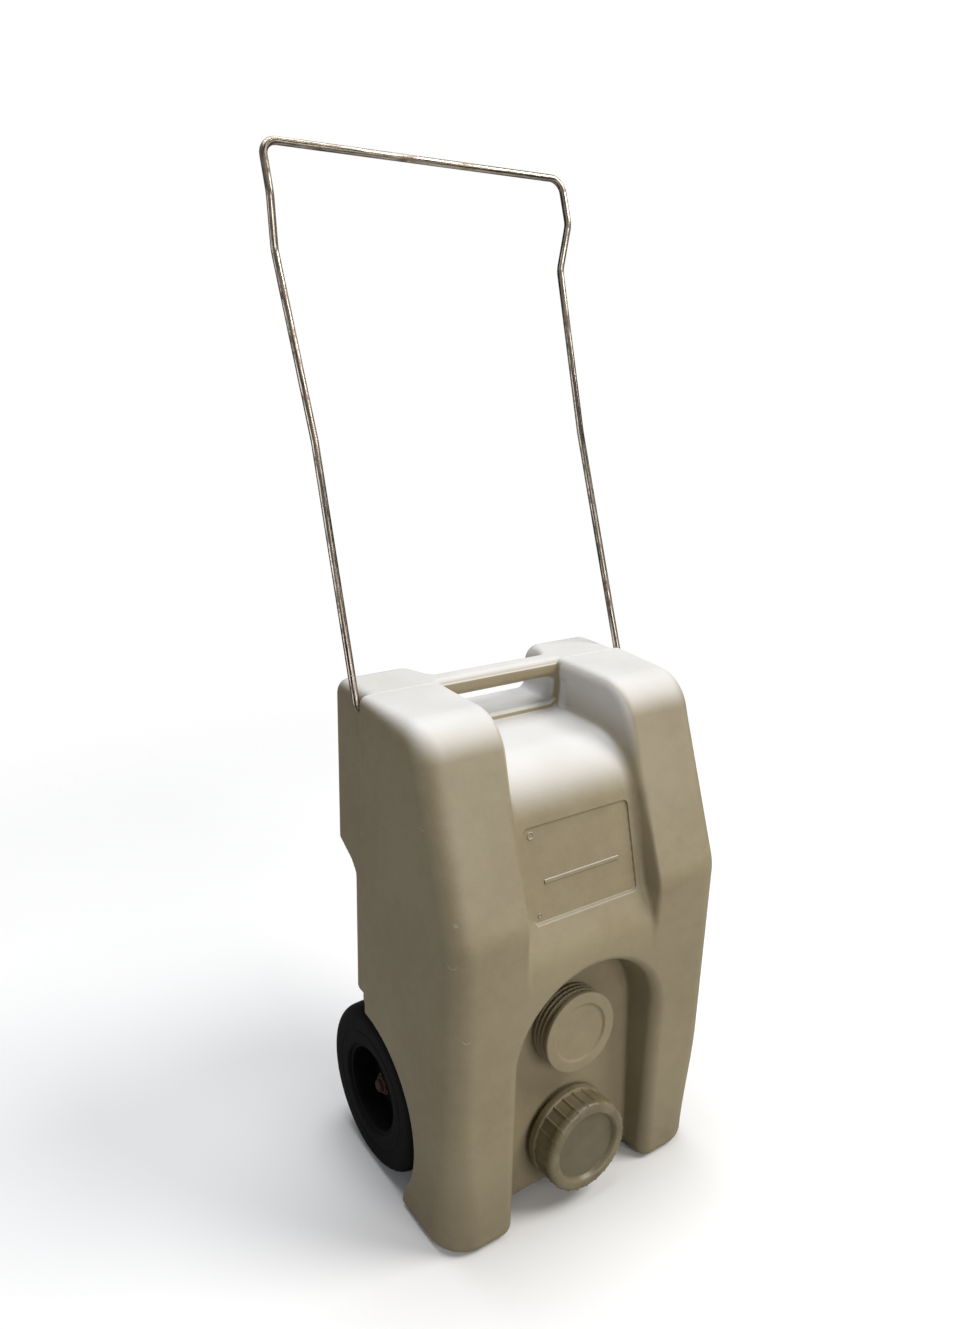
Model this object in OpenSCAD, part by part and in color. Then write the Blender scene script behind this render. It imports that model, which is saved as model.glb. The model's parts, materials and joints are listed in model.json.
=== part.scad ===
// Wheeled water bowser: a moulded tank on two wheels with a swinging wire handle.
// Lengths are in millimetres. X runs across the tank, the front faces -Y, and Z is up.
// The outlines use y measured from the flat front of the legs. The finished part is moved so that
// its origin lies on the ground, in the middle of its own box.

/* [Tank] */
// Width of the front half
tank_w = 330; // [300:1:360]
// Height of the flat top
tank_h = 541; // [515:1:580]
// Height at which the front starts to slope back
break_z = 353; // [300:1:390]
// How far the front slopes back by the time it reaches the top
slope_run = 70; // [45:1:90]
// Depth of the parting line between the front and the rear half
seam_y = 176; // [165:1:186]
// Depth of the rear wall under the bulge
body_d = 209; // [200:1:225]
// Depth of the rear bulge
bulge_d = 245; // [235:1:260]
// How much narrower the rear half is, on each side
rear_step = 6.5; // [5:0.5:9]
// Thickness of the moulded wall
wall = 3.5; // [2.5:0.1:4.5]
// Radius of the upright front edges
edge_r = 23; // [15:1:32]
// Radius of the edges along the top
top_r = 16; // [8:1:20]
// Radius of the shoulder, where the slope meets the top
shoulder_r = 48; // [25:1:55]
// Radius of the soft bend where the slope starts
break_r = 60; // [20:1:90]
// Radius of the front edge of the feet
foot_r = 8; // [4:1:12]
// Depth of the feet along the ground
foot_d = 96; // [85:1:105]
// Height of the middle of the tank above the ground
belly_z = 10; // [6:1:16]
// Height of the tail between the wheels above the ground
tail_z = 40; // [25:1:60]

/* [Rear bulge] */
// Height of the underside of the bulge
bulge_z = 332; // [310:1:360]
// How far the underside rises towards the back
bulge_rise = 24; // [15:1:35]
// Radius of the back edges
bulge_r = 18; // [10:1:24]

/* [Side wedges] */
// Height of the small wedges on the sides, close behind the parting line
wedge_z = 290; // [270:1:310]
// How far a wedge stands out of the rear half
wedge_out = 4; // [2:0.5:5]
// Height of a wedge
wedge_h = 12; // [8:1:18]
// Width of a wedge, front to back
wedge_w = 6; // [4:0.5:9]

/* [Channel and grip] */
// Width of the channel
channel_w = 148; // [140:1:160]
// Height at which the foot of the channel comes out to the front
channel_z = 308; // [302:1:314]
// Height of the short ramp at the foot of the channel
ramp_h = 22; // [16:1:26]
// Depth of the channel's floor at the top of the ramp
ramp_d = 16.5; // [12:0.5:18]
// Radius of the soft bend at the top of the ramp
ramp_r = 30; // [15:1:45]
// How far the flat floor in front of the grip lies below the top
saddle_drop = 54; // [47:1:66]
// Radius of the floor's roll-over
roll_r = 65; // [50:1:75]
// Depth of the roll-over's centre
roll_y = 108; // [100:1:116]
// Width of the grip, front to back
grip_w = 24; // [20:1:30]
// Thickness of the grip
grip_t = 21; // [16:1:23]
// Radius of the grip's edges
grip_r = 6; // [3:0.5:7]
// How far the walls of the hand hole step in behind the parting line
notch_step = 1; // [0.5:0.5:3]
// How far the floor of the hand hole lies above the floor in front of it
notch_rise = 6; // [4:0.5:9]
// Distance from the roll-over down to the plain panel
panel_drop = 6.5; // [4:0.5:9]
// Width of the plain panel
panel_w = 129; // [100:1:134]
// Length of the plain panel, along the slope
panel_l = 93; // [80:1:97]
// Depth of the plain panel
panel_deep = 1.2; // [0.6:0.1:1.8]
// Radius of the panel's corners
panel_r = 6; // [3:1:10]

/* [Lower recess] */
// Width of the arched recess between the feet
recess_w = 175; // [166:1:184]
// Depth of the recess at the blank neck
recess_d = 43.5; // [38:0.5:48]
// Lean of the recess's floor, in degrees
recess_lean = 3.5; // [2:0.1:5]
// Height of the blank neck
blank_z = 195; // [188:1:205]
// Distance from the blank neck down to the filler neck
neck_drop = 128; // [122:1:134]

/* [Necks] */
// Outer radius of a neck under its thread
neck_r = 41; // [38:0.5:43]
// Length of a neck
neck_l = 26.5; // [24:0.5:29]
// Wall of a neck
neck_wall = 4; // [3:0.1:5]
// Height of the thread
thread_h = 2.6; // [1.5:0.1:3]
// Distance from one turn of the thread to the next
thread_pitch = 6; // [5:0.1:7]
// Turns of the thread
thread_turns = 3; // [2:1:3]
// Radius of the dimple in the blank neck's face
dimple_r = 31; // [25:1:33]
// Depth of the dimple
dimple_deep = 2; // [1:0.1:2.5]
// Thickness of the flange at the blank neck's face
flange_t = 5; // [3:0.5:7]

/* [Screw cap] */
// Distance from the recess's floor to the foot of the cap
cap_foot = 5.3; // [3:0.1:7]
// Length of the cap
cap_l = 36.5; // [34:0.5:40]
// Wall of the cap's skirt
cap_wall = 5; // [4:0.1:6]
// Thickness of the cap's middle disc
cap_disc_t = 3; // [2:0.1:4]
// Radius of the sunk middle disc
cap_disc_r = 35; // [30:0.5:37]
// How far the middle disc is sunk
cap_sink = 6; // [4:0.5:8]
// Number of grip ribs
rib_count = 24; // [16:1:30]
// Height of a grip rib
rib_h = 2; // [1:0.1:3]
// Width of a grip rib
rib_w = 4.5; // [3:0.1:6]
// How far the collar stands out of the skirt
collar_h = 3; // [2.5:0.1:4]
// Thickness of the collar behind the ribs
collar_t = 5; // [3:0.5:7]
// Thickness of the seal ring
seal_t = 2; // [1.5:0.1:3]

/* [Wheels and axle] */
// Diameter of a wheel
wheel_d = 181; // [165:1:186]
// Width of a wheel
wheel_w = 44; // [38:1:48]
// How far a wheel's outer face lies inside the side of the tank
wheel_inset = 3; // [2:0.5:8]
// Radius of the tyre's outer edges
tread_r = 13; // [8:0.5:18.5]
// Radius of the tyre's inner edges
bead_r = 7; // [3:0.5:9]
// Diameter of the rim, which the tyre sits on
rim_d = 98; // [86:1:106]
// Wall of the rim
rim_wall = 4; // [3:0.5:6]
// Thickness of the rim's web
web_t = 5; // [4:0.5:8]
// Outer diameter of the hub
hub_d = 28; // [22:1:34]
// Length of the hub
hub_l = 26; // [22:1:30]
// Diameter of the axle
axle_d = 10; // [8:0.5:12]
// Depth of the axle
axle_y = 170; // [164:1:176]
// How much larger than a wheel's radius the arch over it is
arch_gap = 12; // [11:0.5:15]
// How far the arch's centre lies behind the axle
arch_back = 6; // [3:0.5:7]
// How far the arch's centre lies below the axle
arch_drop = 7.5; // [4:0.5:8.5]
// Gap between a wheel and the roof behind the arch
roof_gap = 17.5; // [14:0.5:22]
// Diameter of a washer
washer_d = 22; // [18:0.5:24]
// Thickness of a washer
washer_t = 1.5; // [1:0.1:2]
// Diameter of a push-on axle cap
push_cap_d = 20; // [16:0.5:22]
// Length of a push-on axle cap
push_cap_l = 7; // [5:0.5:9]
// Wall of a push-on axle cap
push_cap_wall = 1.6; // [1:0.1:2]

/* [Wire handle] */
// Diameter of the wire
wire_d = 6; // [5:0.5:7]
// How far the handle's pivot lies below the top
pivot_drop = 15.5; // [15:0.5:36]
// Depth of the sockets for the wire's ends
socket_l = 18; // [14:1:24]
// Lean of the handle in its rest position, in degrees
handle_lean = 19.3; // [15:0.1:24]
// Distance along a leg from the pivot to its slight kink
kink_l = 258; // [220:1:300]
// Distance along a leg to the start of the forward jog
jog_start_l = 440; // [420:1:455]
// Distance along a leg to the end of the forward jog
jog_end_l = 483; // [475:1:500]
// Distance along a leg to the crossbar
handle_l = 533; // [525:1:545]
// How far the jog brings the crossbar forward
jog_forward = 20; // [12:1:26]
// How far a leg pulls in at the kink
kink_in = 3; // [1:0.5:3.5]
// How far a leg spreads out at the start of the jog
jog_start_out = 5; // [3:0.5:8]
// How far a leg spreads out at the crossbar
grip_out = 9.5; // [8:0.5:12]
// Radius of the kink's bend, to the middle of the wire
kink_r = 60; // [30:1:90]
// Radius of the jog's bends, to the middle of the wire
jog_r = 24; // [15:1:30]
// Radius of the corner bends, to the middle of the wire
corner_r = 15; // [10:1:20]
// Radius of the hooks at the wire's ends, to the middle of the wire
hook_r = 6; // [5:0.5:8]

/* [Clearances] */
// Radial clearance of a running fit
run_fit = 0.05; // [0.02:0.01:0.1]
// Gap between faces that pass each other
side_gap = 0.3; // [0.2:0.05:0.5]
// Gap around the neck's thread
thread_gap = 0.4; // [0.3:0.05:0.6]
// Gap between the handle and the step at the parting line
step_gap = 1; // [0.5:0.1:2]

/* [Hidden] */
$fn = 72;
// Overrun of the cuts, and steps of a rounded corner
overrun = 40;
corner_steps = 8;

// Tank
half_w = tank_w / 2;
rear_half_w = half_w - rear_step;
slope_angle = atan(slope_run / (tank_h - break_z));
belly_half_w = recess_w / 2 - wall;
step_r = rear_step / 3;
bulge_corner_r = bulge_rise / 2;
rear_edge_r = bulge_r / 2;

// Channel: from the ramp its floor leans back to a roll-over across the tank, then runs level
ramp_z = channel_z + ramp_h;
saddle_z = tank_h - saddle_drop;
roll_z = saddle_z - roll_r;
roll_away = norm([roll_y - ramp_d, roll_z - ramp_z]);
roll_turn = atan2(roll_z - ramp_z, roll_y - ramp_d) + asin(roll_r / roll_away);
lip_y = roll_y - roll_r * tan(roll_turn / 2);
channel_end = seam_y + step_r;
notch_z = saddle_z + notch_rise;
notch_half_w = channel_w / 2 - notch_step;
grip_z = tank_h - grip_t;

// Necks
thread_r = neck_r + thread_h;
thread_start = thread_pitch;
thread_flank = thread_h / 2;
blank_floor = neck_l - wall;

// Cap, measured outward from the recess's floor
cap_in_r = thread_r + thread_gap;
cap_r = cap_in_r + cap_wall;
cap_top = cap_foot + cap_l;
seal_z = neck_l + run_fit;
seal_seat = seal_z + seal_t + run_fit;
seal_in_r = neck_r - neck_wall;
cap_face_r = cap_r - rib_h;
cap_face_z = cap_top - rib_h;
cap_under = cap_top - cap_sink - cap_disc_t;
collar_r = cap_r + collar_h;
rib_end = cap_face_z - rib_h / 2;

// Wheels, measured outward from the middle of the tank
axle_r = axle_d / 2;
axle_z = wheel_d / 2;
wheel_out = half_w - wheel_inset;
wheel_in = wheel_out - wheel_w;
well_in = wheel_in - washer_t - 2 * side_gap;
arch_r = wheel_d / 2 + arch_gap;
arch_y = axle_y + arch_back;
arch_z = axle_z - arch_drop;
well_roof_z = wheel_d + roof_gap;
sole_z = arch_z - sqrt(pow(arch_r, 2) - pow(arch_y - foot_d, 2));
hub_out = wheel_in + hub_l;
outer_washer_x = hub_out + side_gap;
push_cap_x = outer_washer_x + washer_t;
axle_end = push_cap_x + push_cap_l - push_cap_wall;
washer_hole_r = axle_r + side_gap;

// Handle
wire_r = wire_d / 2;
pivot_y = seam_y + wire_r + step_gap;
pivot_z = tank_h - pivot_drop;
leg_x = half_w + side_gap;
pin_end = rear_half_w - socket_l + side_gap;
socket_r = wire_r + run_fit;
wire_sides = 12;
wire_ring_r = (wire_r + run_fit) / cos(180 / wire_sides);
pin_lap = hook_r / 4;

// Place of the origin along the depth: the middle between the cap's face and the crossbar
front_most = recess_d - cap_top * cos(recess_lean) - (neck_drop + cap_face_r) * sin(recess_lean);
rear_most = pivot_y + handle_l * sin(handle_lean) - jog_forward * cos(handle_lean) + wire_r;
origin_y = (front_most + rear_most) / 2;

// Unit vector from a to b
function toward(a, b) = (b - a) / norm(b - a);

// Turn at a corner: positive where the outline bends to the left
function bend(a, p, b) = cross(p - a, b - p);

// Points of an arc of radius r that rounds the corner p between a and b, in two or three dimensions
function round_corner(a, p, b, r) =
    let (u = toward(p, a), v = toward(p, b), half = acos(u * v) / 2, sweep = 180 - 2 * half)
    let (c = p + (u + v) / norm(u + v) * r / sin(half))
    let (s = p + u * r / tan(half) - c, e = p + v * r / tan(half) - c)
    let (k = (e - s * cos(sweep)) / sin(sweep))
    [for (i = [0 : corner_steps])
        let (turn = sweep * i / corner_steps)
        c + s * cos(turn) + k * sin(turn)];

// Corner p moved inward by t, with its sides
function move_in(a, p, b, t) =
    let (u = toward(p, a), v = toward(p, b), half = acos(u * v) / 2)
    p + (u + v) / norm(u + v) * t / sin(half) * (bend(a, p, b) > 0 ? 1 : -1);

// An outline from corners [x, y, radius], counter-clockwise, with every side moved inward by t
function outline(corners, t = 0) =
    let (n = len(corners), p = [for (c = corners) [c.x, c.y]])
    let (q = [for (i = [0 : n - 1]) move_in(p[(i + n - 1) % n], p[i], p[(i + 1) % n], t)])
    let (turn = [for (i = [0 : n - 1]) bend(p[(i + n - 1) % n], p[i], p[(i + 1) % n])])
    [for (i = [0 : n - 1])
        let (r = corners[i].z == 0 ? 0 : max(corners[i].z + (turn[i] > 0 ? -t : t), 0))
        each r == 0 ? [q[i]] : round_corner(q[(i + n - 1) % n], q[i], q[(i + 1) % n], r)];

// An outline in (y, z), drawn out along X
module prism_x(points, x0, x1) {
    translate([x0, 0, 0])
        rotate([90, 0, 90])
            linear_extrude(x1 - x0)
                polygon(points);
}

// An outline in (x, z), drawn out along Y
module prism_y(points, y0, y1) {
    translate([0, y1, 0])
        rotate([90, 0, 0])
            linear_extrude(y1 - y0)
                polygon(points);
}

// A round bar along X
module bar_x(r, x0, x1) {
    translate([x0, 0, 0])
        rotate([0, 90, 0])
            cylinder(r = r, h = x1 - x0);
}

// A profile of points [radius, distance along X], turned about X
module turned_x(points) {
    rotate([0, 90, 0])
        rotate_extrude()
            polygon(points);
}

// Both sides of the tank
module both_sides() {
    children();
    mirror([1, 0, 0])
        children();
}

// Moves a sub-part to the part's own origin
module placed() {
    translate([0, -origin_y, 0])
        children();
}

// Frame of a neck: the axis points outward from the recess's floor, d below the blank neck
module at_neck(d = 0) {
    translate([0, recess_d, blank_z])
        rotate([-recess_lean, 0, 0])
            translate([0, 0, -d])
                rotate([90, 0, 0])
                    children();
}

module at_axle() {
    translate([0, axle_y, axle_z])
        children();
}

// Main block of the tank, with every wall moved inward by t
module block(t) {
    side = [[0, 0, foot_r], [body_d, 0, foot_r], [body_d, tank_h, rear_edge_r],
            [slope_run, tank_h, shoulder_r], [0, break_z, break_r]];
    plan = [[-half_w, 0, edge_r], [half_w, 0, edge_r], [half_w, seam_y, step_r],
            [rear_half_w, seam_y, 0], [rear_half_w, bulge_d, bulge_r], [-rear_half_w, bulge_d, bulge_r],
            [-rear_half_w, seam_y, 0], [-half_w, seam_y, step_r]];
    slope = [[-half_w, 0, edge_r], [half_w, 0, edge_r], [half_w, tank_h, 0], [-half_w, tank_h, 0]];
    front = [[-half_w, 0, foot_r], [half_w, 0, foot_r], [half_w, tank_h, top_r], [-half_w, tank_h, top_r]];
    intersection() {
        prism_x(outline(side, t), -half_w, half_w);
        linear_extrude(tank_h)
            polygon(outline(plan, t));
        translate([0, 0, break_z])
            rotate([-slope_angle, 0, 0])
                linear_extrude(tank_h * 2, center = true)
                    polygon(outline(slope, t));
        prism_y(outline(front, t), 0, bulge_d);
    }
}

// The bulge at the back, above the wheels, with every wall moved inward by t
module bulge(t) {
    side = [[seam_y, bulge_z, 0], [body_d, bulge_z, 0], [bulge_d, bulge_z + bulge_rise, bulge_corner_r],
            [bulge_d, tank_h, bulge_r], [seam_y, tank_h, 0]];
    plan = [[-rear_half_w, seam_y - wall, 0], [rear_half_w, seam_y - wall, 0],
            [rear_half_w, bulge_d, bulge_r], [-rear_half_w, bulge_d, bulge_r]];
    front = [[-rear_half_w, 0, 0], [rear_half_w, 0, 0],
             [rear_half_w, tank_h, top_r], [-rear_half_w, tank_h, top_r]];
    intersection() {
        prism_x(outline(side, t), -half_w, half_w);
        linear_extrude(tank_h)
            polygon(outline(plan, t));
        prism_y(outline(front, t), 0, bulge_d);
    }
}

// The channel between the shoulders, up its ramp and over the roll to the parting line,
// with its walls moved outward by t
module channel(t) {
    corners = [[-ramp_d, channel_z - ramp_h, 0], [ramp_d, ramp_z, ramp_r], [lip_y, saddle_z, roll_r],
               [channel_end, saddle_z, step_r], [channel_end, tank_h + overrun, 0],
               [-ramp_d, tank_h + overrun, 0]];
    prism_x(outline(corners, -t), -channel_w / 2 - t, channel_w / 2 + t);
}

// The notch for a hand, under the grip and out at the back, with its walls moved outward by t
module notch(t) {
    side = [[seam_y, notch_z, 0], [bulge_d + overrun, notch_z, 0],
            [bulge_d + overrun, tank_h + overrun, 0], [seam_y, tank_h + overrun, 0]];
    mouth = notch_half_w + 2 * bulge_r;
    plan = [[-notch_half_w, 0, 0], [notch_half_w, 0, 0], [notch_half_w, bulge_d - bulge_r, bulge_r],
            [mouth, bulge_d + bulge_r, 0], [-mouth, bulge_d + bulge_r, 0],
            [-notch_half_w, bulge_d - bulge_r, bulge_r]];
    intersection() {
        prism_x(outline(side, -t), -half_w, half_w);
        linear_extrude(tank_h + overrun * 2)
            polygon(outline(plan, -t));
    }
}

// The shallow plain panel in the channel's floor
module panel() {
    half = panel_w / 2;
    low = -panel_drop - panel_l;
    corners = [[-half, low, panel_r], [half, low, panel_r],
               [half, -panel_drop, panel_r], [-half, -panel_drop, panel_r]];
    translate([0, roll_y, roll_z])
        rotate([roll_turn, 0, 0])
            translate([0, 0, roll_r - panel_deep])
                linear_extrude(panel_deep * 2)
                    polygon(outline(corners));
}

// The arched recess at the front, with its walls moved outward by t
module recess(t) {
    half = recess_w / 2 + t;
    at_neck()
        translate([0, 0, -t])
            linear_extrude(recess_d + overrun) {
                circle(half);
                translate([-half, -blank_z - overrun])
                    square([half * 2, blank_z + overrun]);
            }
}

// The wells for the wheels, and the space under the middle, with their walls moved outward by t
module wells(t) {
    both_sides() {
        translate([0, arch_y, arch_z])
            bar_x(arch_r + t, well_in - t, half_w + overrun);
        translate([well_in - t, seam_y - t, -overrun])
            cube([half_w + overrun, bulge_d, well_roof_z + overrun + t]);
        translate([well_in - t, foot_d - t, -overrun])
            cube([half_w + overrun, bulge_d, sole_z + overrun]);
    }
    translate([-well_in, foot_d - t, -overrun])
        cube([well_in * 2, bulge_d, tail_z + overrun + t]);
    translate([-belly_half_w - t, -overrun, -overrun])
        cube([(belly_half_w + t) * 2, bulge_d, belly_z + overrun + t]);
}

// Everything that is cut into the outside of the tank
module hollows(t) {
    channel(t);
    notch(t);
    recess(t);
    wells(t);
}

// Outside of a neck as [radius, distance], with the turns of its thread as rings and a flange f thick
function neck_profile(turns, f) =
    concat([[0, -wall], [neck_r, -wall]],
           [for (i = [0 : turns - 1])
               let (z = thread_start + i * thread_pitch)
               each [[neck_r, z], [thread_r, z + thread_flank],
                     [thread_r, z + thread_h], [neck_r, z + thread_h + thread_flank]]],
           f > 0 ? [[neck_r, neck_l - f], [thread_r, neck_l - f], [thread_r, neck_l]] : [[neck_r, neck_l]],
           [[0, neck_l]]);

// The grip bar between the shoulders
module grip() {
    section = [[seam_y, grip_z, grip_r], [seam_y + grip_w, grip_z, grip_r],
               [seam_y + grip_w, tank_h, grip_r], [seam_y, tank_h, grip_r]];
    prism_x(outline(section), -channel_w / 2 - wall / 2, channel_w / 2 + wall / 2);
}

// A small wedge on the side of the rear half, close behind the parting line
module side_wedge() {
    section = [[rear_half_w - wall / 2, wedge_z - wedge_h / 2], [rear_half_w, wedge_z - wedge_h / 2],
             [rear_half_w + wedge_out, wedge_z + wedge_h / 4], [rear_half_w, wedge_z + wedge_h / 2],
             [rear_half_w - wall / 2, wedge_z + wedge_h / 2]];
    prism_y(section, seam_y + step_gap, seam_y + step_gap + wedge_w);
}

// The moulded skin: the outer shape less the space for the water
module skin() {
    difference() {
        union() {
            block(0);
            bulge(0);
        }
        hollows(0);
        difference() {
            union() {
                block(wall);
                bulge(wall);
            }
            hollows(wall);
            at_axle()
                bar_x(axle_r + wall, -half_w, half_w);
            translate([0, pivot_y, pivot_z])
                both_sides()
                    bar_x(socket_r + wall, rear_half_w - socket_l - wall, half_w);
        }
    }
}

module tank() {
    color([0.63, 0.58, 0.48])
        difference() {
            union() {
                skin();
                grip();
                both_sides()
                    side_wedge();
                at_neck()
                    rotate_extrude()
                        polygon(neck_profile(thread_turns - 1, flange_t));
                at_neck(neck_drop)
                    rotate_extrude()
                        polygon(neck_profile(thread_turns, 0));
            }
            panel();
            at_neck()
                translate([0, 0, neck_l - dimple_deep])
                    cylinder(r = dimple_r, h = overrun);
            at_neck()
                translate([0, 0, -wall * 2])
                    cylinder(r = seal_in_r, h = blank_floor - dimple_deep + wall * 2);
            at_neck(neck_drop)
                translate([0, 0, -wall * 2])
                    cylinder(r = seal_in_r, h = neck_l + overrun);
            at_axle()
                bar_x(axle_r + run_fit, -half_w, half_w);
            translate([0, pivot_y, pivot_z])
                both_sides()
                    bar_x(socket_r, rear_half_w - socket_l, half_w);
        }
}

// The cap: skirt, collar, seat for the seal, sunk disc and grip ribs
module screw_cap() {
    collar_top = cap_foot + collar_t;
    profile = [[cap_in_r, cap_foot], [collar_r, cap_foot], [collar_r, collar_top], [cap_r, collar_top],
               [cap_r, cap_face_z], [cap_face_r, cap_top], [cap_disc_r, cap_top],
               [cap_disc_r, cap_top - cap_sink], [0, cap_top - cap_sink], [0, cap_under],
               [seal_in_r, cap_under], [seal_in_r, seal_seat], [cap_in_r, seal_seat]];
    color([0.66, 0.62, 0.45])
        at_neck(neck_drop) {
            rotate_extrude()
                polygon(profile);
            for (i = [0 : rib_count - 1])
                rotate([0, 0, i * 360 / rib_count])
                    translate([cap_in_r + cap_wall / 2, -rib_w / 2, cap_foot + collar_t / 2])
                        cube([cap_wall / 2 + rib_h, rib_w, rib_end - cap_foot - collar_t / 2]);
        }
}

module cap_seal() {
    color([0.16, 0.15, 0.14])
        at_neck(neck_drop)
            translate([0, 0, seal_z])
                difference() {
                    cylinder(r = thread_r, h = seal_t);
                    translate([0, 0, -seal_t])
                        cylinder(r = seal_in_r, h = seal_t * 3);
                }
}

// Corners of the bent wire on the right, with the pivot at the origin, Z along the leg and -Y forward
function wire_corners() =
    [[leg_x, 0, 0], [leg_x - kink_in, 0, kink_l], [leg_x + jog_start_out, 0, jog_start_l],
     [leg_x + grip_out, -jog_forward, jog_end_l], [leg_x + grip_out, -jog_forward, handle_l]];

// Middle of the wire from the right hook over the crossbar to the left hook, with round bends
function wire_path() =
    let (r = [hook_r, kink_r, jog_r, jog_r, corner_r], c = wire_corners(), n = len(c))
    let (before = concat([[0, 0, 0]], c), after = concat(c, [[0, -jog_forward, handle_l]]))
    let (right = [for (i = [0 : n - 1]) each round_corner(before[i], c[i], after[i + 1], r[i])])
    concat(right, [for (i = [len(right) - 1 : -1 : 0]) [-right[i].x, right[i].y, right[i].z]]);

// A ring of points round the path at point i, square to the wire
function wire_ring(path, i) =
    let (n = len(path), t = toward(path[max(i - 1, 0)], path[min(i + 1, n - 1)]))
    let (along = i == 0 ? [1, 0, 0] : i == n - 1 ? [1, 0, 0] : t)
    let (side = cross(along, [0, 1, 0]) / norm(cross(along, [0, 1, 0])), up = cross(side, along))
    [for (k = [0 : wire_sides - 1])
        path[i] + wire_ring_r * (side * cos(k * 360 / wire_sides) + up * sin(k * 360 / wire_sides))];

// The wire swept along its path
module bent_wire(path) {
    n = len(path);
    last = n * wire_sides;
    points = [for (i = [0 : n - 1]) each wire_ring(path, i)];
    skin = [for (i = [0 : n - 2], k = [0 : wire_sides - 1])
        let (a = i * wire_sides + k, b = i * wire_sides + (k + 1) % wire_sides)
        each [[a, b, b + wire_sides], [a, b + wire_sides, a + wire_sides]]];
    ends = [[for (k = [wire_sides - 1 : -1 : 0]) k],
            [for (k = [0 : wire_sides - 1]) last - wire_sides + k]];
    polyhedron(points, concat(skin, ends));
}

module handle_wire() {
    path = wire_path();
    color([0.72, 0.69, 0.62])
        translate([0, pivot_y, pivot_z])
            rotate([-handle_lean, 0, 0]) {
                bent_wire(path);
                both_sides()
                    bar_x(wire_r, pin_end, path[0].x + pin_lap);
            }
}

module axle() {
    color([0.45, 0.30, 0.22])
        at_axle()
            bar_x(axle_r, -axle_end, axle_end);
}

// A wheel's rim: hub, web set well inside, and the barrel that carries the tyre
module rim() {
    barrel_r = rim_d / 2;
    web_x = wheel_in + web_t;
    color([0.10, 0.10, 0.10])
        at_axle()
            turned_x([[axle_r + run_fit, wheel_in], [hub_d / 2, wheel_in], [hub_d / 2, web_x],
                      [barrel_r - rim_wall, web_x], [barrel_r - rim_wall, wheel_in + rim_wall],
                      [barrel_r, wheel_in + rim_wall], [barrel_r, wheel_out - rim_wall],
                      [barrel_r - rim_wall, wheel_out - rim_wall], [barrel_r - rim_wall, web_x + web_t],
                      [hub_d / 2, web_x + web_t], [hub_d / 2, hub_out], [axle_r + run_fit, hub_out]]);
}

module tyre() {
    corners = [[rim_d / 2, wheel_in, bead_r], [wheel_d / 2, wheel_in, tread_r],
               [wheel_d / 2, wheel_out, tread_r], [rim_d / 2, wheel_out, bead_r]];
    color([0.07, 0.07, 0.07])
        at_axle()
            turned_x(outline(corners));
}

// A plain washer whose inner face lies x out from the middle
module washer(x) {
    color([0.50, 0.48, 0.45])
        at_axle()
            turned_x([[washer_hole_r, x], [washer_d / 2, x],
                      [washer_d / 2, x + washer_t], [washer_hole_r, x + washer_t]]);
}

// A domed cap pushed onto the end of the axle
module push_cap() {
    top_x = push_cap_x + push_cap_l;
    crown_r = axle_r + push_cap_wall;
    corners = [[axle_r, push_cap_x, 0], [push_cap_d / 2, push_cap_x, 0],
               [push_cap_d / 2, push_cap_x + push_cap_wall, 0],
               [crown_r, push_cap_x + push_cap_wall * 2, 0], [crown_r, top_x, push_cap_wall],
               [0, top_x, 0], [0, axle_end, 0], [axle_r, axle_end, 0]];
    color([0.42, 0.20, 0.13])
        at_axle()
            turned_x(outline(corners));
}

// The side at -X is the left one, seen by a person who faces the front
module on_left() {
    mirror([1, 0, 0])
        children();
}

placed() tank();
placed() screw_cap();
placed() cap_seal();
placed() handle_wire();
placed() axle();
placed() on_left() rim();  // rim_left
placed() rim();  // rim_right
placed() on_left() tyre();  // tyre_left
placed() tyre();  // tyre_right
placed() on_left() washer(well_in + side_gap);  // inner_washer_left
placed() washer(well_in + side_gap);  // inner_washer_right
placed() on_left() washer(outer_washer_x);  // outer_washer_left
placed() washer(outer_washer_x);  // outer_washer_right
placed() on_left() push_cap();  // push_cap_left
placed() push_cap();  // push_cap_right
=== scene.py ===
import json
import math

import bmesh
import bpy
import numpy as np
from mathutils import Matrix, Vector


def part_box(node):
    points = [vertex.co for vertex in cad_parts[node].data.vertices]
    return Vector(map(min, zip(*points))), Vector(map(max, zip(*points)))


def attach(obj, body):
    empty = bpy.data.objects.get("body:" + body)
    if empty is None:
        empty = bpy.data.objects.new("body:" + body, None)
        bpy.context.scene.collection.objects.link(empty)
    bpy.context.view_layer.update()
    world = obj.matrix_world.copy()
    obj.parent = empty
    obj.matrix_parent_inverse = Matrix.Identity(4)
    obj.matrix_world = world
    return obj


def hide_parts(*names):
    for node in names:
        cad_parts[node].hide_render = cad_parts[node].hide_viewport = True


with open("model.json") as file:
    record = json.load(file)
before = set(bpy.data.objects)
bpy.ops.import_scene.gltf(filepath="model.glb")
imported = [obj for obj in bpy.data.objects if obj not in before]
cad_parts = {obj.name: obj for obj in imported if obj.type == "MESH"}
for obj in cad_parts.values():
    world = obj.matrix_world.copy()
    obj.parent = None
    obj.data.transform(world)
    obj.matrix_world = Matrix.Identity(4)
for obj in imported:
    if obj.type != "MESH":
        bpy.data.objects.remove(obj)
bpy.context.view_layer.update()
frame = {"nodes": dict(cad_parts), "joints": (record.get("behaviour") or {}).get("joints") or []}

mm = 0.001
joints = {joint["name"]: joint for joint in frame["joints"]}
tankLow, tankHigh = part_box("tank")
halfWidth = tankHigh.x / mm
topZ = tankHigh.z / mm
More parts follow.
